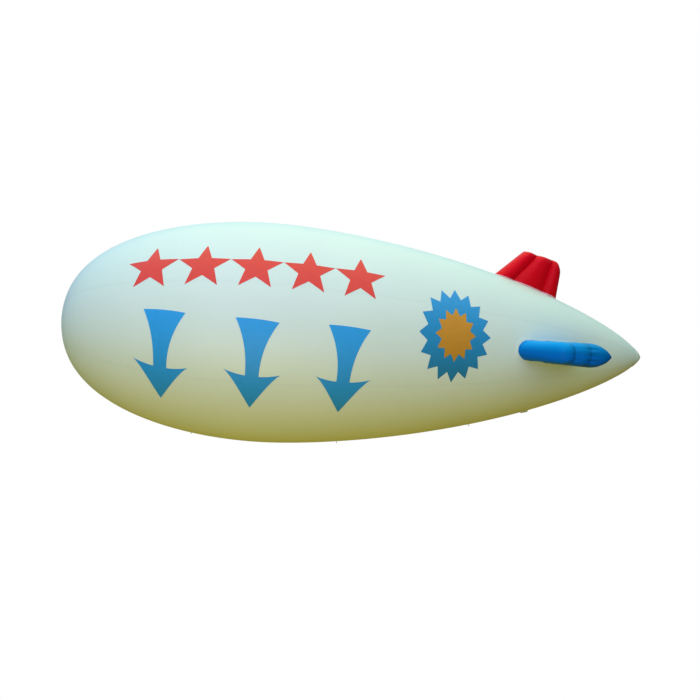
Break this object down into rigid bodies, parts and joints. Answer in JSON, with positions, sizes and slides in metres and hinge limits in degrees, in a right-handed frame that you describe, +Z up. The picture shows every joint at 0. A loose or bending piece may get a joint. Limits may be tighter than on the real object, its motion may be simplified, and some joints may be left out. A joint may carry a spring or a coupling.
{
  "type": "advertising blimp balloon",
  "caption": "Inflated advertising blimp: gore-built envelope with nose and tail caps, lobed tail fins, belly mooring rings that swing and a filling valve with a hinged lid.",
  "frame": {"origin": "on the long axis at the centre of the gas volume, where the air holds the balloon up", "axes": "+X from nose to tail along the long axis, +Z up through the top fin, -Y towards the side that the picture shows"},
  "size_m": [6.0101, 2.2284, 2.2284],
  "materials": {
    "envelope_fabric": "satin coated fabric, printed",
    "cap_fabric": "satin coated fabric",
    "red_fabric": "satin coated fabric",
    "blue_fabric": "satin coated fabric",
    "fin_base_fabric": "satin coated fabric",
    "patch_fabric": "satin coated fabric",
    "webbing": "woven webbing",
    "ring_steel": "polished",
    "valve_plastic": "moulded",
    "lid_plastic": "moulded"
  },
  "bodies": {
    "envelope": {"envelope_gore_1": "envelope_fabric", "envelope_gore_2": "envelope_fabric", "envelope_gore_3": "envelope_fabric", "envelope_gore_4": "envelope_fabric", "envelope_gore_5": "envelope_fabric", "envelope_gore_6": "envelope_fabric", "envelope_gore_7": "envelope_fabric", "envelope_gore_8": "envelope_fabric", "nose_cap": "cap_fabric", "tail_cap": "cap_fabric", "top_fin_base": "fin_base_fabric", "top_fin_lobe_front": "red_fabric", "top_fin_lobe_middle": "red_fabric", "top_fin_lobe_rear": "red_fabric", "near_fin_base": "fin_base_fabric", "near_fin_lobe_front": "blue_fabric", "near_fin_lobe_middle": "blue_fabric", "near_fin_lobe_rear": "blue_fabric", "far_fin_base": "fin_base_fabric", "far_fin_lobe_front": "blue_fabric", "far_fin_lobe_middle": "blue_fabric", "far_fin_lobe_rear": "blue_fabric", "mooring_patch_fore": "patch_fabric", "webbing_keeper_fore": "webbing", "mooring_patch_mid": "patch_fabric", "webbing_keeper_mid": "webbing", "mooring_patch_aft": "patch_fabric", "webbing_keeper_aft": "webbing", "valve_patch": "patch_fabric", "valve_body": "valve_plastic"},
    "ring_fore": {"d_ring_fore": "ring_steel"},
    "ring_mid": {"d_ring_mid": "ring_steel"},
    "ring_aft": {"d_ring_aft": "ring_steel"},
    "valve_lid": {"valve_lid": "lid_plastic"}
  },
  "joints": [
    {"name": "ring_swing_fore", "type": "hinge", "parent": "envelope", "child": "ring_fore", "pos_m": [-1.24304, 0, -1.06479], "axis": [0, 1, 0], "range_deg": [-80, 80]},
    {"name": "ring_swing_mid", "type": "hinge", "parent": "envelope", "child": "ring_mid", "pos_m": [0.26183, 0, -1.08425], "axis": [0, 1, 0], "range_deg": [-80, 80]},
    {"name": "ring_swing_aft", "type": "hinge", "parent": "envelope", "child": "ring_aft", "pos_m": [1.66414, 0, -0.82964], "axis": [0, 1, 0], "range_deg": [-80, 80]},
    {"name": "valve_lid_hinge", "type": "hinge", "parent": "envelope", "child": "valve_lid", "pos_m": [2.22974, 0, -0.67555], "axis": [0, 1, 0], "range_deg": [0, 150]}
  ]
}
